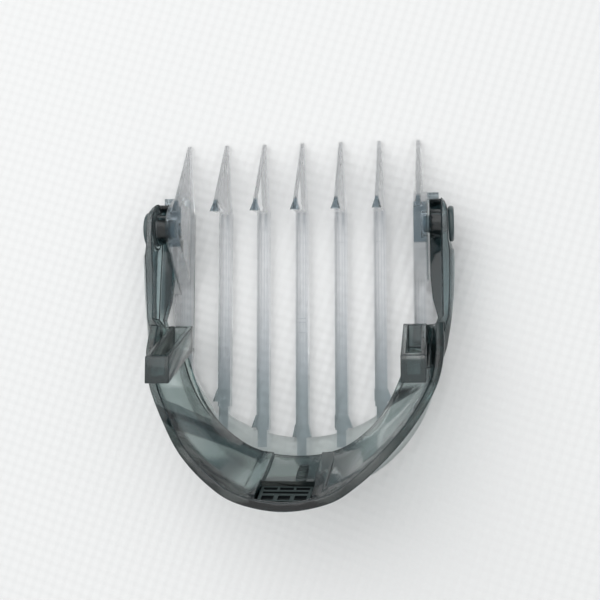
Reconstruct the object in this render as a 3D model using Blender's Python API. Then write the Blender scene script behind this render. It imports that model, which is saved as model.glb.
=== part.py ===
"""A pivoting guide comb for a hair clipper.

A smoked carrier frame clips on to the clipper. A clear seven-tooth comb swings under it on two pins.
The floor is z = 0, the teeth point along +Y and the frame's collar is at -Y.
"""

import bmesh
import bpy
import numpy as np
from mathutils import Matrix, Vector

MM = 0.001
GAP = 0.3
OVERLAP = 0.1

# --- comb: the clear piece that lies on the skin ---
TOOTH_COUNT = 7
PITCH = 7.0
RIB_WIDTH = 2.3
RIB_HEIGHT = 1.7
BAR_TAPER = 0.92
OUTER_RIB_REAR = -13.0
TAIL_REAR = -25.6
TAIL_SWEEP = 0.36
FLARE_CENTRE_SHARE = 0.6
PLATE_THICKNESS = 1.3
TIP_Y = 31.5
STEP_Y = 18.9
HEEL_Y = 17.6
HEEL_Z = 11.3
SPINE_WIDTH = 0.64
TIP_WIDTH = 0.6
TIP_HEIGHT = 0.5
FIN_REAR_Y = 18.6
FIN_BASE_WIDTH = 2.1
HEEL_FACET_WIDTH = 1.6
HEEL_FACET_LENGTH = 1.9
HEEL_TOP_WIDTH = 0.55
HEEL_SHOULDER = 0.6
HEEL_DEPTH = 2.4
FLARE_WIDTH = 0.8
FLARE_LENGTH = 2.2
TAIL_WIDTH = 1.7
TAIL_HEIGHT = 2.0
SLOT_ARC = (-4.0, 20.8, 17.5)
SLOT_CORNERS = [(19.6, -10.9), (15.4, -17.7), (13.6, -17.4)]
PLATE_ARC = (-6.0, 24.2, 25.3)
EAR_INNER_X = 20.2
EAR_OUTER_X = 22.55
EAR_RADIUS = 4.5
EAR_SKIN = 1.2
TAB_OUTER_X = 24.5
TAB_Y = (20.0, 21.1)
TAB_TOP_Z = 4.6
EAR_FRONT = [(21.2, 0.0), (21.2, TAB_TOP_Z), (20.4, 6.4)]
EAR_REAR = [(8.2, 5.0), (6.6, 3.0), (4.5, 0.0)]
TAB_BOTTOM_Z = 0.6
TAB_ROOT_X = 21.4
FOOT_INNER_X = 20.1
FOOT_OUTER_X = 23.2
FOOT_REAR_Y = -7.2
FOOT_FRONT_Y = 4.2

# --- pivots: the hinge axis runs along X through this point ---
PIVOT_Y = 15.2
PIVOT_Z = 6.3
PIN_RADIUS = 1.5
HEAD_RADIUS = 3.15
HEAD_OUTER_X = 27.0

# --- carrier frame ---
ARM_INNER_X = 22.85
ARM_END_OUTER_X = 26.2
ARM_OUTER_X = 26.95
ARM_HALF_HEIGHT = 4.5
ARM_STEP_Y = 12.1
ARM_WALL_X = 24.9
ARM_FLAT_SHARE = 0.55
LEDGE_HEIGHT = 2.4
LEDGE_REAR_Y = -1.5
BOSS_RADIUS = 2.7
SEAT_FLOOR_X = 25.7
ARM_END_ROUND = 1.25
ROUND_REAR = 0.3
ROUND_ARM = 0.38
ROUND_END = 0.2
WALL = 1.3
SCOOP = 0.9
RIM_BEAD = 1.1
RAIL_INNER_X = 18.2
RAIL_OUTER_X = 22.15
RAIL_WALL = 0.85
OPEN_FRONT = 2.0
RAIL_BOTTOM = (-1.95, -6.5, 7.85)
RAIL_TOP = (-7.7, -12.0, 23.2)
COLLAR_STEPS = 96

# Slices across an arm from the collar forwards: y, outer x, inner x, lowest z, highest z, and how much of
# the width is rounded off.
ARM_SLICES = [
    (-9.5, 24.2, 22.0, 8.4, 13.4, ROUND_REAR),
    (-6.0, 25.5, 22.5, 4.3, 11.3, ROUND_REAR),
    (-2.5, 26.15, 23.4, 3.3, 10.0, ROUND_REAR),
    (-0.8, 26.4, 24.05, 3.1, 9.6, ROUND_ARM),
    (2.5, 26.75, 23.2, 2.8, 9.5, ROUND_ARM),
    (6.5, ARM_OUTER_X, ARM_INNER_X, 2.4, 9.7, ROUND_ARM),
    (10.2, ARM_OUTER_X, ARM_INNER_X, 1.9, 10.6, ROUND_ARM),
]

# The collar's lower inner lip and its upper outer rim, from the right-hand side round to the middle
# of the back, as (x, y, z). The left-hand side mirrors them.
LIP = [
    (21.4, -2.3, 8.3),
    (18.9, -7.0, 8.3),
    (17.3, -11.5, 8.5),
    (15.3, -15.6, 8.4),
    (12.6, -19.2, 7.5),
    (8.6, -22.3, 6.7),
    (4.4, -23.8, 6.1),
    (0.0, -24.2, 5.9),
]
RIM = [
    (24.9, -2.0, 10.9),
    (24.9, -7.0, 13.4),
    (23.7, -12.3, 15.3),
    (20.4, -18.2, 18.6),
    (16.3, -23.1, 23.2),
    (11.6, -27.4, 24.9),
    (7.0, -30.2, 24.8),
    (0.0, -31.45, 24.6),
]

# --- latch at the middle of the collar's back ---
PANEL_WIDTH = 8.2
GUIDE_WIDTH = 2.2
GUIDE_HEIGHT = 0.8
GUIDE_SHARES = (0.02, 0.93)
CATCH_SHARES = (0.66, 0.94)
CATCH_FACE = -0.1
SEAT_DEPTH = 1.05
POCKET_DEPTH = 0.45
POCKET_PITCH = 2.6
SLOT_ROW = (0.05, 0.25, 2.2)
GROOVE_ROW = (0.34, 0.5)
SQUARE_ROW = (0.62, 0.93, 1.9)
MARK_COUNT = 5
MARK_START = 0.24
MARK_STEP = 0.055
MARK_THICKNESS = 0.014
MARK_WIDTH = 1.6
MARK_X = 1.6
MARK_TOP = 0.22


def clear_scene():
    for obj in list(bpy.data.objects):
        bpy.data.objects.remove(obj)


def material(name, colour, roughness, alpha=1.0):
    mat = bpy.data.materials.new(name)
    mat.use_nodes = True
    shader = mat.node_tree.nodes["Principled BSDF"]
    shader.inputs["Base Color"].default_value = (*colour, 1.0)
    shader.inputs["Roughness"].default_value = roughness
    shader.inputs["Metallic"].default_value = 0.0
    shader.inputs["Alpha"].default_value = alpha
    return mat


def mesh_object(name, bm):
    """An object from a bmesh in millimetres."""
    bmesh.ops.recalc_face_normals(bm, faces=bm.faces)
    bmesh.ops.scale(bm, vec=(MM, MM, MM), verts=bm.verts)
    mesh = bpy.data.meshes.new(name)
    bm.to_mesh(mesh)
    bm.free()
    obj = bpy.data.objects.new(name, mesh)
    bpy.context.scene.collection.objects.link(obj)
    return obj


def hull(name, points):
    """The convex solid round these points."""
    bm = bmesh.new()
    for point in points:
        bm.verts.new(point)
    made = bmesh.ops.convex_hull(bm, input=bm.verts)
    loose = {v for v in made["geom_interior"] if isinstance(v, bmesh.types.BMVert)}
    bmesh.ops.delete(bm, geom=list(loose), context="VERTS")
    return mesh_object(name, bm)


def box(name, low, high):
    corners = [(x, y, z) for x in (low[0], high[0]) for y in (low[1], high[1]) for z in (low[2], high[2])]
    return hull(name, corners)


def skin(name, rings):
    """A closed solid through rings of matching points, with a flat cap on the first and the last."""
    bm = bmesh.new()
    loops = [[bm.verts.new(point) for point in ring] for ring in rings]
    count = len(loops[0])
    for first, second in zip(loops, loops[1:]):
        for i in range(count):
            j = (i + 1) % count
            bm.faces.new((first[i], first[j], second[j], second[i]))
    bm.faces.new(loops[0])
    bm.faces.new(loops[-1])
    return mesh_object(name, bm)


def plate(name, outline, low, high):
    """An outline in X and Y, given as points, raised from low to high."""
    return skin(name, [[(x, y, z) for x, y in outline] for z in (low, high)])


def side_plate(name, outline, low, high):
    """An outline in Y and Z, raised along X."""
    return skin(name, [[(x, y, z) for y, z in outline] for x in (low, high)])


def cylinder(name, low_x, high_x, radius, steps=40):
    """A round bar along X on the pivots' axis."""
    turns = np.linspace(0, 2 * np.pi, steps, endpoint=False)
    outline = [(PIVOT_Y + radius * np.cos(a), PIVOT_Z + radius * np.sin(a)) for a in turns]
    return side_plate(name, outline, low_x, high_x)


def arc(shape, start, stop, steps):
    """Points of an ellipse, given as its centre's y and its two radii. Angles are in degrees from +X."""
    centre_y, across, along = shape
    angles = np.radians(np.linspace(start, stop, steps))
    return [(across * np.cos(a), centre_y + along * np.sin(a)) for a in angles]


def combine(target, others, operation="UNION"):
    """Adds or cuts each helper with a Boolean, then hides the helper."""
    for other in others:
        step = target.modifiers.new(f"{operation.lower()}_{other.name}", "BOOLEAN")
        step.operation = operation
        step.solver = "EXACT"
        step.object = other
        other.hide_render = True
        other.display_type = "WIRE"


def bevelled(target, width, angle=40, segments=2):
    step = target.modifiers.new("soft_edges", "BEVEL")
    step.width = width * MM
    step.segments = segments
    step.limit_method = "ANGLE"
    step.angle_limit = np.radians(angle)
    step.use_clamp_overlap = True


def smooth(target):
    """Shades round faces smooth and keeps the sharp edges."""
    target.data.shade_smooth()
    target.data.set_sharp_from_angle(angle=np.radians(35))


def set_origin(target, place):
    """Moves an object's origin to this place, in millimetres, and leaves its shape where it is."""
    offset = Vector(place) * MM
    target.data.transform(Matrix.Translation(-offset))
    target.location = offset


def tooth_x(index):
    return PITCH * (index - (TOOTH_COUNT - 1) / 2)


def slot_end(x):
    """The y where the slots end at this x, on the plate's inner arc."""
    centre_y, across, along = SLOT_ARC
    return centre_y - along * np.sqrt(max(0.0, 1 - (x / across) ** 2))


# --- comb ---


def crescent():
    """The plate behind the slots. The outer two slots run further back than the arc does."""
    outer = arc(PLATE_ARC, 180, 360, 49)
    middle = [point for point in arc(SLOT_ARC, 360, 180, 41) if abs(point[0]) < SLOT_CORNERS[-1][0]]
    start, stop = arc(SLOT_ARC, 360, 180, 2)
    mirrored = [(-x, y) for x, y in reversed(SLOT_CORNERS)]
    inner = [start] + SLOT_CORNERS + middle + mirrored + [stop]
    return plate("crescent", outer + inner, 0.0, PLATE_THICKNESS)


def bar(name, x, rear, front, width, height):
    """A bar along Y, a little wider underneath than on top."""
    low, high = width / 2, width / 2 * BAR_TAPER
    points = []
    for y in (rear, front):
        points += [(x - low, y, 0.0), (x + low, y, 0.0), (x - high, y, height), (x + high, y, height)]
    return hull(name, points)


def is_outer(index):
    return index in (0, TOOTH_COUNT - 1)


def rib(index):
    """The bar that slides on the skin."""
    x = tooth_x(index)
    rear = OUTER_RIB_REAR if is_outer(index) else slot_end(abs(x) + RIB_WIDTH / 2)
    return bar(f"rib_{index}", x, rear, STEP_Y, RIB_WIDTH, RIB_HEIGHT)


def tail(index):
    """The narrower bar that carries a middle rib on across the crescent."""
    x = tooth_x(index)
    front = slot_end(abs(x)) + FLARE_LENGTH
    return bar(f"tail_{index}", x, TAIL_REAR + TAIL_SWEEP * abs(x), front, TAIL_WIDTH, TAIL_HEIGHT)


def fin(index):
    """The upright blade of a tooth, from its tip on the skin to its heel."""
    x = tooth_x(index)
    points = []
    for side in (-0.5, 0.5):
        points += [(x + side * TIP_WIDTH, TIP_Y, z) for z in (0.0, TIP_HEIGHT)]
        points.append((x + side * FIN_BASE_WIDTH, FIN_REAR_Y, 0.0))
        points.append((x + side * SPINE_WIDTH, HEEL_Y, HEEL_Z))
    return hull(f"fin_{index}", points)


def heel(index):
    """The small wedge that widens a fin's spine at its heel."""
    x = tooth_x(index)
    slope = (HEEL_Z - TIP_HEIGHT) / (TIP_Y - HEEL_Y)
    front_y = HEEL_Y + HEEL_FACET_LENGTH
    front_z = HEEL_Z - slope * HEEL_FACET_LENGTH - OVERLAP
    rear_y, top_z = HEEL_Y - OVERLAP / 2, HEEL_Z + OVERLAP / 2
    points = []
    for side in (-0.5, 0.5):
        points.append((x + side * HEEL_TOP_WIDTH, front_y, front_z))
        points.append((x + side * HEEL_TOP_WIDTH, rear_y, top_z))
        points.append((x + side * HEEL_FACET_WIDTH, rear_y, HEEL_Z - HEEL_SHOULDER))
        points.append((x + side * HEEL_FACET_WIDTH, HEEL_Y + 0.25, HEEL_Z - HEEL_DEPTH))
    return hull(f"heel_{index}", points)


def flare(index):
    """The wedge that widens a middle rib on its outer side, just before the crescent."""
    x = tooth_x(index)
    half = RIB_WIDTH / 2
    left, right = (x <= 0) * FLARE_WIDTH, (x >= 0) * FLARE_WIDTH
    share = FLARE_CENTRE_SHARE if x == 0 else 1.0
    y = slot_end(abs(x) + half + FLARE_WIDTH) + 0.1
    outline = [(x - half, y + FLARE_LENGTH), (x + half, y + FLARE_LENGTH)]
    outline += [(x + half + share * right, y), (x - half - share * left, y)]
    return plate(f"flare_{index}", outline, 0.0, TAIL_HEIGHT - 0.1)


def ear_outline():
    """An ear from the side: round over the pivot, with a foot that runs back along the outer rib."""
    turns = np.radians(np.linspace(20, 165, 16))
    top = [(PIVOT_Y + EAR_RADIUS * np.cos(a), PIVOT_Z + EAR_RADIUS * np.sin(a)) for a in turns]
    return EAR_FRONT + top + EAR_REAR


def ear(side):
    low, high = sorted((side * EAR_INNER_X, side * EAR_OUTER_X))
    return side_plate(f"ear_{side:+d}", ear_outline(), low, high)


def stop_tab(side):
    """The lug on an ear that passes just beyond the arm's end."""
    low, high = sorted((side * TAB_ROOT_X, side * TAB_OUTER_X))
    return box(f"tab_{side:+d}", (low, TAB_Y[0], TAB_BOTTOM_Z), (high, TAB_Y[1], TAB_TOP_Z - 0.2))


def side_foot(side):
    """The strip that joins an ear to the crescent, outside the outer rib."""
    low, high = sorted((side * FOOT_INNER_X, side * FOOT_OUTER_X))
    return box(f"foot_{side:+d}", (low, FOOT_REAR_Y, 0.0), (high, FOOT_FRONT_Y, PLATE_THICKNESS))


def make_comb():
    comb = crescent()
    comb.name = "comb"
    pieces = []
    for index in range(TOOTH_COUNT):
        pieces += [rib(index), fin(index), heel(index)]
        if not is_outer(index):
            pieces += [tail(index), flare(index)]
    for side in (-1, 1):
        pieces += [side_foot(side), ear(side), stop_tab(side)]
    combine(comb, pieces)
    reach = TAB_OUTER_X + 1
    holes = [cylinder("pin_holes", -reach, reach, PIN_RADIUS + GAP)]
    skin_x = EAR_INNER_X + EAR_SKIN
    keep = box("between_ears", (-skin_x, 0, -1), (skin_x, 30, 20))
    combine(holes[0], [keep], "DIFFERENCE")
    combine(comb, holes, "DIFFERENCE")
    set_origin(comb, (0, PIVOT_Y, PIVOT_Z))
    comb.data.materials.append(material("clear_plastic", (0.70, 0.73, 0.77), 0.12, 0.55))
    return comb


# --- pivot pins ---


def make_pin(name, side):
    """A pin with a broad flat head, pushed in from outside through the arm and into the ear."""
    inner, outer = side * (EAR_INNER_X + EAR_SKIN + GAP), side * HEAD_OUTER_X
    shoulder = side * (SEAT_FLOOR_X + GAP)
    head = cylinder(name, *sorted((shoulder, outer)), HEAD_RADIUS - 0.05)
    bevelled(head, 0.35, 50)
    shaft = cylinder(f"shaft_{name}", *sorted((inner, shoulder + side * 0.5)), PIN_RADIUS, 28)
    combine(head, [shaft])
    smooth(head)
    set_origin(head, (0, PIVOT_Y, PIVOT_Z))
    head.data.materials.append(material(f"{name}_plastic", (0.22, 0.26, 0.27), 0.25))
    return head


# --- carrier frame ---


def smooth_curve(points, steps):
    """Points along a smooth curve through hand-picked points, mirrored to the left-hand side."""
    full = np.array(points + [(-x, y, z) for x, y, z in reversed(points[:-1])])
    knots = np.linspace(0, 1, len(full))
    at = np.linspace(0, 1, steps)
    slopes = np.gradient(full, knots, axis=0)
    out = []
    for t in at:
        i = min(int(t * (len(full) - 1)), len(full) - 2)
        h = knots[i + 1] - knots[i]
        u = (t - knots[i]) / h
        out.append(
            (2 * u**3 - 3 * u**2 + 1) * full[i]
            + (u**3 - 2 * u**2 + u) * h * slopes[i]
            + (3 * u**2 - 2 * u**3) * full[i + 1]
            + (u**3 - u**2) * h * slopes[i + 1]
        )
    return out


def bend(start, middle, end, count):
    """Points inside a curve from start to end that leans towards middle."""
    shares = np.linspace(0, 1, count + 2)[1:-1]
    return [(1 - t) ** 2 * start + 2 * t * (1 - t) * middle + t**2 * end for t in shares]


def collar_rings():
    """Cross-sections of the collar's wall: lip, inner face, rim, outer face."""
    rings = []
    down = np.array([0, 0, -1.0])
    for lip, rim in zip(smooth_curve(LIP, COLLAR_STEPS), smooth_curve(RIM, COLLAR_STEPS)):
        out = (rim - lip) * (1, 1, 0)
        out = out / np.linalg.norm(out)
        inner_rim = rim - WALL * out
        outer_lip = lip + WALL * out + 0.2 * down
        inner = bend(lip, (lip + inner_rim) / 2 + SCOOP * (out + down), inner_rim, 3)
        rim_low = rim + 0.1 * out + RIM_BEAD * down
        outer = bend(rim_low, (lip + rim) / 2 + (SCOOP + WALL) * (out + down), outer_lip, 3)
        rings.append([lip, *inner, inner_rim, rim, rim_low, *outer, outer_lip])
    return rings


def arm_section(y, outer_x, inner_x, low_z, high_z, rounding):
    """A slice across an arm: an upright wall, rounded outside, with a low ledge along its inner side."""
    middle = (low_z + high_z) / 2
    half = (high_z - low_z) / 2
    wall_x = max(inner_x + 0.01, ARM_WALL_X) if y > LEDGE_REAR_Y else inner_x + 0.01
    shoulder = outer_x - rounding * (outer_x - wall_x)
    ledge_z = low_z + min(LEDGE_HEIGHT, half)
    return [
        (inner_x, y, low_z),
        (inner_x, y, ledge_z),
        (wall_x, y, ledge_z + 0.1),
        (wall_x, y, high_z),
        (shoulder, y, high_z),
        (outer_x, y, middle + ARM_FLAT_SHARE * half),
        (outer_x, y, middle - ARM_FLAT_SHARE * half),
        (shoulder, y, low_z),
    ]


def arm(side):
    """An arm from the collar's side up to its round end about the pivot."""
    low_z, high_z = PIVOT_Z - ARM_HALF_HEIGHT, PIVOT_Z + ARM_HALF_HEIGHT
    stations = list(ARM_SLICES)
    stations.append((ARM_STEP_Y, ARM_END_OUTER_X, ARM_INNER_X, low_z, high_z, ROUND_END))
    for angle in np.radians((0, 20, 38, 54, 68, 80)):
        half = ARM_HALF_HEIGHT * np.cos(angle)
        y = PIVOT_Y + ARM_HALF_HEIGHT * np.sin(angle)
        outer_x = ARM_END_OUTER_X - ARM_END_ROUND * np.sin(angle) ** 3
        stations.append((y, outer_x, ARM_INNER_X, PIVOT_Z - half, PIVOT_Z + half, ROUND_END))
    rings = [[(side * x, y, z) for x, y, z in arm_section(*station)] for station in stations]
    return skin(f"arm_{side:+d}", rings)


def rail_block(name, side, inset):
    """The leaning box of a guide rail. inset shrinks it to the hollow inside, which is open in front."""
    inner, outer = RAIL_INNER_X + inset, RAIL_OUTER_X - inset
    front_low, back_low, low_z = RAIL_BOTTOM
    front_high, back_high, high_z = RAIL_TOP
    lean = (front_high - front_low) / (high_z - low_z)
    if inset:
        low_z, high_z = low_z + inset, high_z - inset
        front_low, back_low = front_low + lean * inset + OPEN_FRONT, back_low + lean * inset + inset
        front_high, back_high = front_high - lean * inset + OPEN_FRONT, back_high - lean * inset + inset
    points = []
    for x in (side * inner, side * outer):
        points += [(x, front_low, low_z), (x, back_low, low_z)]
        points += [(x, front_high, high_z), (x, back_high, high_z)]
    return hull(f"{name}_{side:+d}", points)


def back_frame():
    """The leaning plane of the collar's back: its origin on the lip, and the direction up the wall."""
    low = Vector(LIP[-1])
    high = Vector(RIM[-1]) - Vector((0, -WALL, 0))
    return low, high - low


def back_box(name, width, start, stop, depth_in, depth_out, x=0.0):
    """A box on the collar's back wall. start and stop are shares of the way up the wall."""
    low, rise = back_frame()
    up = rise.normalized()
    inward = Vector((0, up.z, -up.y))
    points = []
    for share in (start, stop):
        for depth in (depth_in, -depth_out):
            at = low + rise * share + inward * depth
            points += [(x + side * width / 2, at.y, at.z) for side in (-1, 1)]
    return hull(name, points)


def make_frame():
    frame = skin("carrier_frame", collar_rings())
    pieces = []
    for side in (-1, 1):
        pieces += [arm(side), rail_block("rail", side, 0.0)]
        low, high = sorted((side * ARM_INNER_X, side * (ARM_WALL_X + 0.3)))
        pieces.append(cylinder(f"boss_{side:+d}", low, high, BOSS_RADIUS))
        offset = side * (PANEL_WIDTH + GUIDE_WIDTH) / 2
        pieces.append(back_box(f"guide_{side:+d}", GUIDE_WIDTH, *GUIDE_SHARES, GUIDE_HEIGHT, WALL / 2, offset))
    for index in range(MARK_COUNT):
        share = MARK_START + MARK_STEP * index
        stop = share + MARK_THICKNESS
        pieces.append(back_box(f"mark_{index}", MARK_WIDTH, share, stop, MARK_TOP, SCOOP, MARK_X))
    combine(frame, pieces)
    cuts = []
    for side in (-1, 1):
        cuts.append(rail_block("rail_hollow", side, RAIL_WALL))
        low, high = sorted((side * (ARM_INNER_X - 1), side * (ARM_END_OUTER_X + 3)))
        cuts.append(cylinder(f"arm_hole_{side:+d}", low, high, PIN_RADIUS + GAP, 28))
        low, high = sorted((side * SEAT_FLOOR_X, side * (ARM_OUTER_X + 1)))
        cuts.append(cylinder(f"head_seat_{side:+d}", low, high, HEAD_RADIUS + GAP))
    low, high = CATCH_SHARES
    cuts.append(back_box("catch_seat", PANEL_WIDTH + 2 * GAP, low - 0.015, high + 0.015, 3, SEAT_DEPTH))
    combine(frame, cuts, "DIFFERENCE")
    smooth(frame)
    frame.data.materials.append(material("smoked_plastic", (0.20, 0.235, 0.235), 0.18, 0.8))
    return frame


def make_catch():
    """The black grid that the clipper's hook drops into."""
    low, high = CATCH_SHARES
    catch = back_box("latch_catch", PANEL_WIDTH, low, high, CATCH_FACE, SEAT_DEPTH - GAP)
    cuts = []
    for start, stop, width in (SLOT_ROW, SQUARE_ROW):
        ends = [low + (high - low) * share for share in (start, stop)]
        for column in (-1, 0, 1):
            x = POCKET_PITCH * column
            cuts.append(back_box(f"pocket_{start}_{column}", width, *ends, 3, POCKET_DEPTH, x))
    ends = [low + (high - low) * share for share in GROOVE_ROW]
    cuts.append(back_box("groove", PANEL_WIDTH - 1.0, *ends, 3, POCKET_DEPTH))
    combine(catch, cuts, "DIFFERENCE")
    catch.data.materials.append(material("black_plastic", (0.03, 0.035, 0.04), 0.3))
    return catch


def main():
    clear_scene()
    make_frame()
    make_comb()
    make_pin("pivot_pin_left", -1)
    make_pin("pivot_pin_right", 1)
    make_catch()


main()
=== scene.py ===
"""A hair clipper's pivoting guide comb, lying on a pale embossed sheet under soft studio light."""

import math

import bmesh
import bpy
from mathutils import Matrix, Vector


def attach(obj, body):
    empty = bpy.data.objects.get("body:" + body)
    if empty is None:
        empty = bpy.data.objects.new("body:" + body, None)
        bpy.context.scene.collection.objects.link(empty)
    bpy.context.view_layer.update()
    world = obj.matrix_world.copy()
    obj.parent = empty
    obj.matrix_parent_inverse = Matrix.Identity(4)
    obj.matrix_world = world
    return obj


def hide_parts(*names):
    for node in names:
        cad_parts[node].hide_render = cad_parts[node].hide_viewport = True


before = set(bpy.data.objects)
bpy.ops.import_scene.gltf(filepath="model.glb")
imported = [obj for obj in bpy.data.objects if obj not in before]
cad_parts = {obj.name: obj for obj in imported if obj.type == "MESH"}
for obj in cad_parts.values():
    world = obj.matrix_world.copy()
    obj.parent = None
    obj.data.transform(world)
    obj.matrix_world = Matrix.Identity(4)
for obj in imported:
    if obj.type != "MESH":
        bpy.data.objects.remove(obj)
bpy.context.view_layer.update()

MM = 0.001
SENSOR_MM = 36.0

# --- camera, fitted to the photo; the vectors point along its right-hand side and away from the object ---
CAMERA_PLACE_MM = Vector((23.92, -12.24, 177.52))
CAMERA_RIGHT = Vector((0.9929, -0.0029, -0.1193))
CAMERA_BACK = Vector((0.1183, -0.1065, 0.9873))
LENS_MM = 60.0
SHIFT = (-0.0291, -0.0371)
CLIP_START = 0.005

# --- room ---
FLOOR_SIZE = 1.6
# The floor lies this far under the part, because faces that share a plane with it would render black.
FLOOR_DROP = 0.00006
EMBOSS_PITCH_MM = 2.8
EMBOSS_DEPTH_MM = 0.06
EMBOSS_SLANT = 0.5
SHEET_TONES = ((0.80, 0.81, 0.81), (0.84, 0.845, 0.845))

# The sky is bright overhead and dark towards the horizon, which draws the dark edges of clear plastic.
SKY_STRENGTH = 1.12
SKY_BAND = (0.2, 0.75)
SKY_LOW = (0.05, 0.06, 0.065, 1.0)
SKY_HIGH = (1.0, 1.0, 1.0, 1.0)

KEY_PLACE = (-0.35, 0.45, 0.6)
KEY_SIZE = 1.0
KEY_WATTS = 2.9

# A name that ends in _X, _Y, _Z or _LEAN below is a span in millimetres: its mask is 0 at the first number
# and 1 at the second, whichever is larger. Where a name holds two spans, both masks apply. An _AWAY_X span is
# for the distance from the middle plane. A _SHARE is how strongly a tone covers what lies under it.

# --- clear comb ---
CLEAR_IOR = 1.32
CLEAR_TONES = ((0.95, 0.96, 0.975), (0.98, 0.985, 0.99))
# Painted shade that greys the comb's sharp edges.
CLEAR_EDGE_SHADE_TONES = ((0.84, 0.87, 0.89), (0.92, 0.94, 0.95))

# Painted reflection of the dark collar, which greys the rib tops towards their roots.
RIB_REFLECTION_TONE = (0.44, 0.51, 0.55)
RIB_Y = (9.0, -16.0)
RIB_Z = (1.35, 1.55)

CRESCENT_TONE = (0.84, 0.875, 0.87)
CRESCENT_Y = (-8.0, -16.0)
CRESCENT_Z = (1.45, 1.35)

TAIL_TONE = (0.26, 0.33, 0.35)
TAIL_SHARE = 0.35
TAIL_Y = (-11.0, -13.0)
TAIL_Z = (1.8, 1.95)

HEEL_TONE = (0.16, 0.23, 0.28)
HEEL_Y = (20.2, 19.5)
HEEL_Z = (8.9, 9.3)

# Painted shade on the ears, in the gap beside the arms.
EAR_SHADE_TONE = (0.16, 0.20, 0.21)
EAR_AWAY_X = (22.0, 22.45)
EAR_Y = (20.0, 19.0)
EAR_Z = (1.5, 2.5)

LUG_TONE = (0.50, 0.57, 0.60)
LUG_AWAY_X = (22.3, 22.6)
LUG_Y = (19.8, 20.0)

# Fine lines along the ribs. A line is its place, its half width and how far it fades, in millimetres.
RIB_PITCH_MM = 7.0
RIB_LINES_MM = ((0.28, 0.05, 0.1), (0.75, 0.06, 0.1))
RIB_LINES_SHARE = 0.4
TWIN_LINE_MM = (0.5, 0.12, 0.14)
TWIN_LINE_Y = (13.5, 18.5)
CROSS_LINE_MM = (13.0, 0.04, 0.1)
CROSS_LINE_SHARE = 0.5
MARK_TONE = (0.42, 0.47, 0.52)
MARK_SHARE = 0.7
MARKS_Y = (19.2, 18.9)
MARKS_Z = ((1.4, 1.6), (2.4, 2.1))

# Short plain marks across the middle rib.
CENTRE_MARKS_MM = (-0.5, -1.2, -3.0)
CENTRE_MARK_WIDTH_MM = (0.07, 0.08)
CENTRE_MARK_LENGTH_MM = (0.15, 0.65, 0.1)
CENTRE_MARKS_SHARE = 0.8

# --- smoked frame ---
SMOKED_IOR = 1.49
SMOKED_TONES = ((0.48, 0.55, 0.53), (0.55, 0.62, 0.60))
# Painted shade that darkens the frame's sharp edges almost to black.
SMOKED_EDGE_SHADE_TONES = ((0.012, 0.02, 0.024), (0.05, 0.065, 0.07))
# The plastic takes up light by this colour and density, per metre.
SMOKED_DEPTH = ((0.32, 0.48, 0.49), 300.0)

# Painted dark reflections, laid in streaks by noise.
REFLECTION_STREAK_TONE = (0.075, 0.12, 0.125)
REFLECTION_STREAK_SHARE = 0.9
REFLECTION_STREAK_BAND = (0.52, 0.58)

ARM_Y = (-3.0, 2.0)
# Painted highlight on the arms' outer walls.
ARM_WALL_HIGHLIGHT_TONE = (0.66, 0.78, 0.81)
ARM_WALL_AWAY_X = (24.8, 24.9)
# Painted shade on the low ledge between each arm's wall and the ear.
LEDGE_SHADE_TONE = (0.05, 0.085, 0.095)
LEDGE_AWAY_X = ((24.95, 24.8), (22.3, 22.6))
# Painted light on the left arm.
LEFT_ARM_LIGHT_TONE = (0.88, 0.96, 0.97)
LEFT_ARM_SHARE = 0.8
LEFT_ARM_X = (-24.5, -25.0)

RAIL_AWAY_X = (22.3, 22.1)
RAIL_Y = (-13.0, -12.2)
RAIL_Z = (9.0, 10.0)
# Painted light on the rails' lower part, and painted shade on their tops.
RAIL_FOOT_LIGHT_TONE = (0.93, 0.98, 0.96)
RAIL_FOOT_Z = (17.0, 12.0)
RAIL_TOP_SHADE_TONE = (0.22, 0.31, 0.32)
RAIL_TOP_Z = (20.5, 22.9)
# Painted light on the right rail's front.
RIGHT_RAIL_LIGHT_TONE = (0.97, 1.0, 0.98)
RIGHT_RAIL_SHARE = 0.9
RIGHT_RAIL_X = (17.0, 17.5)
RIGHT_RAIL_Y = (-8.6, -8.2)
RIGHT_RAIL_Z = (12.0, 15.0)

# Painted light on the right part of the collar.
RIGHT_COLLAR_LIGHT_TONE = (0.86, 0.93, 0.91)
RIGHT_COLLAR_SHARE = 0.75
RIGHT_COLLAR_X = (9.0, 13.0)
RIGHT_COLLAR_Y = (-11.5, -13.0)

# The two dark reflections that the photo shows on the collar, drawn along straight lines seen from above:
# the line's normal, its distance from the origin, its half width, the span in X where it starts, its colour.
GLINTS = (
    ((0.434, 0.901), -24.2, 0.8, (-4.5, -6.0), (0.035, 0.06, 0.065)),
    ((-0.504, 0.864), -20.9, 0.7, (11.5, 13.0), (0.015, 0.03, 0.033)),
)
GLINT_SOFT_MM = 0.3
GLINT_Y = (-12.0, -13.5)

# Painted shade, near black, on the back rim and around the latch window.
DARK_SHADE_TONE = (0.02, 0.03, 0.033)
DARK_RIM_Y = (-29.6, -30.3)
DARK_RIM_AWAY_X = (9.5, 6.5)
LATCH_SURROUND_Y = (-28.0, -28.6)
LATCH_SURROUND_AWAY_X = (5.2, 4.9)

# --- pins and latch ---
PIN_HEAD_TONES = ((0.045, 0.07, 0.075), (0.075, 0.105, 0.11))
PIN_SHAFT_TONE = (0.42, 0.48, 0.50)
PIN_SHAFT_AWAY_X = (22.9, 22.6)

# The latch's face leans, with this normal in Y and Z, and lies this far along it. Its pockets are deeper.
LATCH_NORMAL = (0.9529, 0.3032)
LATCH_FACE_MM = -21.37
LATCH_FACE_LEAN = (LATCH_FACE_MM - 0.12, LATCH_FACE_MM - 0.05)
LATCH_FACE_TONES = ((0.035, 0.05, 0.05), (0.055, 0.075, 0.075))
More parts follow.
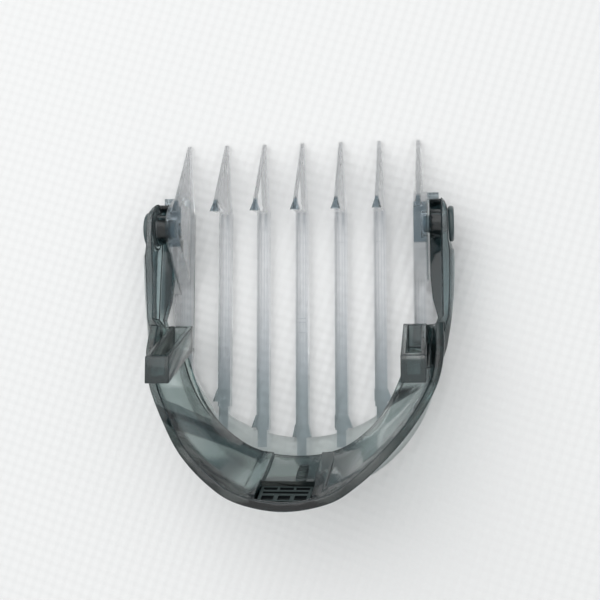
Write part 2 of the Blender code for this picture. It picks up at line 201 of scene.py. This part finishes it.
# Painted shade in the latch's pockets.
LATCH_POCKET_SHADE_TONE = (0.003, 0.005, 0.006)
LATCH_IOR = 1.25

# --- finish of the moulded pieces, with angles in degrees ---
RIPPLE_MM = 0.01
RIPPLE_STRENGTH = 0.3
WELD_MM = 0.002
FLAT_ANGLE = 0.5
SHARP_ANGLE = 28.0
BEVEL_SEGMENTS = 2

# How wide the softened edges are, in millimetres.
COMB_EDGE_MM = 0.09
FRAME_EDGE_MM = 0.15
PIN_EDGE_MM = 0.1
LATCH_EDGE_MM = 0.08


def make_camera():
    """The camera looks down on the comb from just behind its right-hand side."""
    back = CAMERA_BACK.normalized()
    right = (CAMERA_RIGHT - CAMERA_RIGHT.dot(back) * back).normalized()
    up = back.cross(right)
    data = bpy.data.cameras.new("camera")
    data.sensor_width = SENSOR_MM
    data.lens = LENS_MM
    data.shift_x, data.shift_y = SHIFT
    data.clip_start = CLIP_START
    camera = bpy.data.objects.new("camera", data)
    turn = Matrix((right, up, back)).transposed().to_4x4()
    camera.matrix_world = Matrix.Translation(CAMERA_PLACE_MM * MM) @ turn
    bpy.context.scene.collection.objects.link(camera)
    bpy.context.scene.camera = camera


# --- materials ---


class Nodes:
    """A material's node tree, with short calls that add nodes and join them."""

    def __init__(self, name):
        self.material = bpy.data.materials.new(name)
        self.material.use_nodes = True
        self.tree = self.material.node_tree
        self.shader = self.tree.nodes["Principled BSDF"]

    def join(self, source, target):
        self.tree.links.new(source, target)

    def feed(self, value, target):
        """Joins a socket to target, or sets a plain number on it."""
        if isinstance(value, (int, float)):
            target.default_value = value
        else:
            self.join(value, target)

    def set(self, **values):
        for name, value in values.items():
            self.shader.inputs[name.replace("_", " ")].default_value = value

    def math(self, operation, first, second=0.0):
        node = self.tree.nodes.new("ShaderNodeMath")
        node.operation = operation
        self.feed(first, node.inputs[0])
        self.feed(second, node.inputs[1])
        return node.outputs[0]

    def place(self):
        """Object coordinates in millimetres, as three sockets."""
        source = self.tree.nodes.new("ShaderNodeTexCoord")
        scale = self.tree.nodes.new("ShaderNodeVectorMath")
        scale.operation = "SCALE"
        scale.inputs["Scale"].default_value = 1 / MM
        split = self.tree.nodes.new("ShaderNodeSeparateXYZ")
        self.join(source.outputs["Object"], scale.inputs[0])
        self.join(scale.outputs[0], split.inputs[0])
        return split.outputs["X"], split.outputs["Y"], split.outputs["Z"]

    def ease(self, value, low, high):
        """0 below low and 1 above high, with a smooth step between; low may be the larger."""
        node = self.tree.nodes.new("ShaderNodeMapRange")
        node.interpolation_type = "SMOOTHSTEP"
        flip = low > high
        node.inputs["From Min"].default_value = min(low, high)
        node.inputs["From Max"].default_value = max(low, high)
        node.inputs["To Min"].default_value = 1.0 if flip else 0.0
        node.inputs["To Max"].default_value = 0.0 if flip else 1.0
        self.join(value, node.inputs["Value"])
        return node.outputs["Result"]

    def times(self, *values):
        result = values[0]
        for value in values[1:]:
            result = self.math("MULTIPLY", result, value)
        return result

    def zone(self, *limits):
        """The product of ease for each pair of a socket and its span."""
        return self.times(*(self.ease(value, *span) for value, span in limits))

    def lean(self, first, second, normal):
        """How far a place lies along a normal in the plane of two coordinates."""
        parts = [self.math("MULTIPLY", value, share) for value, share in zip((first, second), normal)]
        return self.math("ADD", *parts)

    def line(self, value, centre, half_width, soft):
        """1 on a line of this half width, fading over soft on each side."""
        away = self.math("ABSOLUTE", self.math("SUBTRACT", value, centre))
        return self.ease(away, half_width + soft, half_width)

    def noise(self, scale, detail=3.0, stretch=(1, 1, 1)):
        texture = self.tree.nodes.new("ShaderNodeTexNoise")
        texture.inputs["Scale"].default_value = scale
        texture.inputs["Detail"].default_value = detail
        place = self.tree.nodes.new("ShaderNodeTexCoord")
        mapping = self.tree.nodes.new("ShaderNodeMapping")
        mapping.inputs["Scale"].default_value = stretch
        self.join(place.outputs["Object"], mapping.inputs["Vector"])
        self.join(mapping.outputs["Vector"], texture.inputs["Vector"])
        return texture.outputs["Fac"]

    def blend(self, share, first, second):
        """first where share is 0, second where it is 1. Each is a colour or a socket."""
        node = self.tree.nodes.new("ShaderNodeMix")
        node.data_type = "RGBA"
        self.feed(share, node.inputs["Factor"])
        for colour, target in ((first, node.inputs[6]), (second, node.inputs[7])):
            if isinstance(colour, tuple):
                target.default_value = (*colour, 1.0)
            else:
                self.join(colour, target)
        return node.outputs[2]

    def colour(self, value):
        self.join(value, self.shader.inputs["Base Color"])

    def bump(self, value, distance, strength=1.0):
        node = self.tree.nodes.new("ShaderNodeBump")
        node.inputs["Distance"].default_value = distance
        node.inputs["Strength"].default_value = strength
        self.join(value, node.inputs["Height"])
        self.join(node.outputs["Normal"], self.shader.inputs["Normal"])

    def absorb(self, colour, density):
        """Plastic that takes up more light the thicker it is. density is per metre."""
        node = self.tree.nodes.new("ShaderNodeVolumeAbsorption")
        node.inputs["Color"].default_value = (*colour, 1.0)
        node.inputs["Density"].default_value = density
        self.join(node.outputs[0], self.tree.nodes["Material Output"].inputs["Volume"])


def moulded_finish(nodes, low, high):
    """Uneven gloss, with a roughness from low to high, and the slight ripple of moulded plastic."""
    spread = nodes.tree.nodes.new("ShaderNodeMapRange")
    spread.inputs["To Min"].default_value = low
    spread.inputs["To Max"].default_value = high
    nodes.join(nodes.noise(240.0, detail=4.0, stretch=(1.0, 0.35, 1.0)), spread.inputs["Value"])
    nodes.join(spread.outputs["Result"], nodes.shader.inputs["Roughness"])
    nodes.bump(nodes.noise(380.0, detail=2.0), RIPPLE_MM * MM, RIPPLE_STRENGTH)


def rib_marks(nodes, x, y, z):
    """The fine lines that the mould leaves on the ribs, as one mask."""
    half_pitch = RIB_PITCH_MM / 2
    within = nodes.math("FLOORED_MODULO", nodes.math("ADD", x, half_pitch), RIB_PITCH_MM)
    away = nodes.math("ABSOLUTE", nodes.math("SUBTRACT", within, half_pitch))
    fine = nodes.math("MAXIMUM", *(nodes.line(away, *line) for line in RIB_LINES_MM))
    twin = nodes.times(nodes.line(away, *TWIN_LINE_MM), nodes.zone((y, TWIN_LINE_Y), (y, MARKS_Y)))
    cross = nodes.line(y, *CROSS_LINE_MM)
    marks = nodes.math("MAXIMUM", twin, nodes.times(cross, CROSS_LINE_SHARE))
    marks = nodes.math("MAXIMUM", marks, nodes.times(fine, RIB_LINES_SHARE))
    for place in CENTRE_MARKS_MM:
        across = nodes.line(y, place, *CENTRE_MARK_WIDTH_MM)
        mark = nodes.times(across, nodes.line(x, *CENTRE_MARK_LENGTH_MM), CENTRE_MARKS_SHARE)
        marks = nodes.math("MAXIMUM", marks, mark)
    return nodes.times(marks, nodes.zone(*((z, span) for span in MARKS_Z), (y, MARKS_Y)))


def clear_plastic():
    """Clear plastic, with tones laid by place: painted reflection of the collar greys the rib tops towards
    their roots, painted shade darkens the ears beside the arms, and the crescent, tail, heel tops, lugs and
    mould marks are set lighter or darker.
    """
    nodes = Nodes("clear_plastic")
    x, y, z = nodes.place()
    away = nodes.math("ABSOLUTE", x)
    tail = nodes.times(nodes.zone((z, TAIL_Z), (y, TAIL_Y)), TAIL_SHARE)
    marks = nodes.times(rib_marks(nodes, x, y, z), MARK_SHARE)
    tone = nodes.blend(nodes.noise(60.0, detail=2.0, stretch=(1.0, 0.2, 1.0)), *CLEAR_TONES)
    # Painted reflection on the rib tops and painted shade on the ears, among the other tones laid by place.
    for share, colour in (
        (nodes.zone((y, RIB_Y), (z, RIB_Z)), RIB_REFLECTION_TONE),
        (nodes.zone((z, CRESCENT_Z), (y, CRESCENT_Y)), CRESCENT_TONE),
        (tail, TAIL_TONE),
        (nodes.zone((z, HEEL_Z), (y, HEEL_Y)), HEEL_TONE),
        (nodes.zone((away, EAR_AWAY_X), (z, EAR_Z), (y, EAR_Y)), EAR_SHADE_TONE),
        (nodes.zone((away, LUG_AWAY_X), (y, LUG_Y)), LUG_TONE),
        (marks, MARK_TONE),
    ):
        tone = nodes.blend(share, tone, colour)
    nodes.colour(tone)
    nodes.set(IOR=CLEAR_IOR, Transmission_Weight=1.0)
    moulded_finish(nodes, 0.04, 0.14)
    return nodes.material


def clear_shaded_edge():
    """The clear moulding's sharp edges, with painted shade that makes them a little greyer than its faces."""
    nodes = Nodes("clear_shaded_edge")
    nodes.colour(nodes.blend(nodes.noise(200.0), *CLEAR_EDGE_SHADE_TONES))
    nodes.set(IOR=CLEAR_IOR, Transmission_Weight=1.0)
    moulded_finish(nodes, 0.08, 0.2)
    return nodes.material


def smoked_plastic():
    """Smoked see-through plastic, with painted highlights, shade and reflections for the darker and lighter
    parts that the photo shows.
    """
    nodes = Nodes("smoked_plastic")
    x, y, z = nodes.place()
    away = nodes.math("ABSOLUTE", x)
    reflection_streaks = nodes.ease(nodes.noise(70.0, detail=1.0, stretch=(1.0, 0.45, 0.45)), *REFLECTION_STREAK_BAND)
    arm = nodes.ease(y, *ARM_Y)
    ledge_shade = nodes.zone(*((away, span) for span in LEDGE_AWAY_X))
    rail = nodes.zone((away, RAIL_AWAY_X), (y, RAIL_Y), (z, RAIL_Z))
    right_rail_light = nodes.zone((x, RIGHT_RAIL_X), (y, RIGHT_RAIL_Y), (z, RIGHT_RAIL_Z))
    right_collar_light = nodes.zone((x, RIGHT_COLLAR_X), (y, RIGHT_COLLAR_Y))
    # Painted light and shade by place: reflection streaks, highlights on the arm walls, the left arm, the
    # rails' lower part, the right rail front and the right collar, and shade on the ledges and rail tops.
    layers = [
        (nodes.times(reflection_streaks, REFLECTION_STREAK_SHARE), REFLECTION_STREAK_TONE),
        (nodes.times(nodes.ease(away, *ARM_WALL_AWAY_X), arm), ARM_WALL_HIGHLIGHT_TONE),
        (nodes.times(ledge_shade, arm), LEDGE_SHADE_TONE),
        (nodes.times(rail, nodes.ease(z, *RAIL_FOOT_Z)), RAIL_FOOT_LIGHT_TONE),
        (nodes.times(rail, nodes.ease(z, *RAIL_TOP_Z)), RAIL_TOP_SHADE_TONE),
        (nodes.times(rail, right_rail_light, RIGHT_RAIL_SHARE), RIGHT_RAIL_LIGHT_TONE),
        (nodes.times(nodes.ease(x, *LEFT_ARM_X), arm, LEFT_ARM_SHARE), LEFT_ARM_LIGHT_TONE),
        (nodes.times(right_collar_light, RIGHT_COLLAR_SHARE), RIGHT_COLLAR_LIGHT_TONE),
    ]
    for normal, distance, half_width, start_x, colour in GLINTS:
        streak = nodes.line(nodes.lean(x, y, normal), distance, half_width, GLINT_SOFT_MM)
        layers.append((nodes.times(streak, nodes.zone((y, GLINT_Y), (x, start_x))), colour))
    # Painted shade on the back rim and around the latch window.
    rim = nodes.zone((y, DARK_RIM_Y), (away, DARK_RIM_AWAY_X))
    surround = nodes.zone((y, LATCH_SURROUND_Y), (away, LATCH_SURROUND_AWAY_X))
    layers.append((nodes.math("MAXIMUM", rim, surround), DARK_SHADE_TONE))
    tone = nodes.blend(nodes.noise(50.0, detail=2.0), *SMOKED_TONES)
    for share, colour in layers:
        tone = nodes.blend(share, tone, colour)
    nodes.colour(tone)
    nodes.set(IOR=SMOKED_IOR, Transmission_Weight=0.9)
    nodes.absorb(*SMOKED_DEPTH)
    moulded_finish(nodes, 0.05, 0.18)
    return nodes.material


def smoked_shaded_edge():
    """The moulding's sharp edges, with painted shade that makes them look almost black."""
    nodes = Nodes("smoked_shaded_edge")
    nodes.colour(nodes.blend(nodes.noise(200.0), *SMOKED_EDGE_SHADE_TONES))
    nodes.set(Transmission_Weight=0.25, IOR=SMOKED_IOR)
    moulded_finish(nodes, 0.08, 0.2)
    return nodes.material


def pin_plastic():
    """Dark heads, with shafts that look paler inside the clear ears."""
    nodes = Nodes("pin_plastic")
    x, _, _ = nodes.place()
    inside = nodes.ease(nodes.math("ABSOLUTE", x), *PIN_SHAFT_AWAY_X)
    head = nodes.blend(nodes.noise(300.0), *PIN_HEAD_TONES)
    nodes.colour(nodes.blend(inside, head, PIN_SHAFT_TONE))
    moulded_finish(nodes, 0.16, 0.28)
    return nodes.material


def black_plastic():
    """Black plastic with painted shade, which makes the pockets darker than the raised bars."""
    nodes = Nodes("black_plastic")
    _, y, z = nodes.place()
    raised = nodes.ease(nodes.lean(y, z, LATCH_NORMAL), *LATCH_FACE_LEAN)
    face = nodes.blend(nodes.noise(420.0), *LATCH_FACE_TONES)
    # Painted shade in the pockets.
    nodes.colour(nodes.blend(raised, LATCH_POCKET_SHADE_TONE, face))
    nodes.set(IOR=LATCH_IOR)
    moulded_finish(nodes, 0.45, 0.6)
    return nodes.material


def embossed_sheet():
    """White sheet with rows of fine slanting dimples."""
    nodes = Nodes("embossed_sheet")
    x, y, _ = nodes.place()
    turn = 2 * math.pi / EMBOSS_PITCH_MM
    along = nodes.math("MULTIPLY", nodes.lean(x, y, (1.0, EMBOSS_SLANT)), turn)
    across = nodes.math("MULTIPLY", nodes.lean(x, y, (-EMBOSS_SLANT, 1.0)), turn)
    weave = nodes.math("MULTIPLY", nodes.math("SINE", along), nodes.math("SINE", across))
    nodes.colour(nodes.blend(nodes.noise(9.0), *SHEET_TONES))
    nodes.set(Roughness=0.55)
    nodes.bump(weave, EMBOSS_DEPTH_MM * MM)
    return nodes.material


def finish(node, body, material, edge_mm, edge_material=None, clamp=True):
    """A piece with the CAD node's shape, softened edges and smooth faces, which stands for the node.

    clamp keeps the softened edges narrow where the mesh is dense.
    """
    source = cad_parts[node]
    mesh = bpy.data.meshes.new(f"{node}_finished")
    shape = bmesh.new()
    shape.from_mesh(source.data)
    bmesh.ops.remove_doubles(shape, verts=shape.verts, dist=WELD_MM * MM)
    flat = math.radians(FLAT_ANGLE)
    bmesh.ops.dissolve_limit(shape, angle_limit=flat, verts=shape.verts, edges=shape.edges)
    shape.to_mesh(mesh)
    shape.free()
    piece = bpy.data.objects.new(f"{node}_finished", mesh)
    piece.matrix_world = source.matrix_world
    bpy.context.scene.collection.objects.link(piece)
    mesh.polygons.foreach_set("use_smooth", [True] * len(mesh.polygons))
    bevel = piece.modifiers.new("soft_edges", "BEVEL")
    bevel.width = edge_mm * MM
    bevel.segments = BEVEL_SEGMENTS
    bevel.limit_method = "ANGLE"
    bevel.angle_limit = math.radians(SHARP_ANGLE)
    bevel.harden_normals = True
    bevel.use_clamp_overlap = clamp
    mesh.materials.append(material)
    if edge_material:
        mesh.materials.append(edge_material)
        bevel.material = 1
    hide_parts(node)
    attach(piece, body)


# --- floor and light ---


def make_floor():
    """The sheet that the part lies on."""
    bpy.ops.mesh.primitive_plane_add(size=FLOOR_SIZE, location=(0, 0, -FLOOR_DROP))
    floor = bpy.context.object
    floor.name = "floor"
    floor.data.materials.append(embossed_sheet())


def make_light():
    """A bright sky with a dark horizon, and one large soft lamp."""
    world = bpy.data.worlds.new("studio")
    world.use_nodes = True
    tree = world.node_tree
    background = tree.nodes["Background"]
    background.inputs["Strength"].default_value = SKY_STRENGTH
    place = tree.nodes.new("ShaderNodeTexCoord")
    split = tree.nodes.new("ShaderNodeSeparateXYZ")
    ramp = tree.nodes.new("ShaderNodeValToRGB")
    ramp.color_ramp.elements[0].position, ramp.color_ramp.elements[1].position = SKY_BAND
    ramp.color_ramp.elements[0].color = SKY_LOW
    ramp.color_ramp.elements[1].color = SKY_HIGH
    tree.links.new(place.outputs["Generated"], split.inputs["Vector"])
    tree.links.new(split.outputs["Z"], ramp.inputs["Fac"])
    tree.links.new(ramp.outputs["Color"], background.inputs["Color"])
    bpy.context.scene.world = world
    data = bpy.data.lights.new("key", "AREA")
    data.size = KEY_SIZE
    data.energy = KEY_WATTS
    lamp = bpy.data.objects.new("key", data)
    lamp.location = KEY_PLACE
    lamp.rotation_euler = (-Vector(KEY_PLACE)).to_track_quat("-Z", "Y").to_euler()
    bpy.context.scene.collection.objects.link(lamp)


make_camera()
make_floor()
make_light()
finish("comb", "comb", clear_plastic(), COMB_EDGE_MM, clear_shaded_edge())
finish(
    "carrier_frame", "carrier", smoked_plastic(), FRAME_EDGE_MM, smoked_shaded_edge(), clamp=False
)
for side in ("left", "right"):
    finish(f"pivot_pin_{side}", "carrier", pin_plastic(), PIN_EDGE_MM)
finish("latch_catch", "carrier", black_plastic(), LATCH_EDGE_MM)
bpy.context.scene.view_settings.view_transform = "Standard"
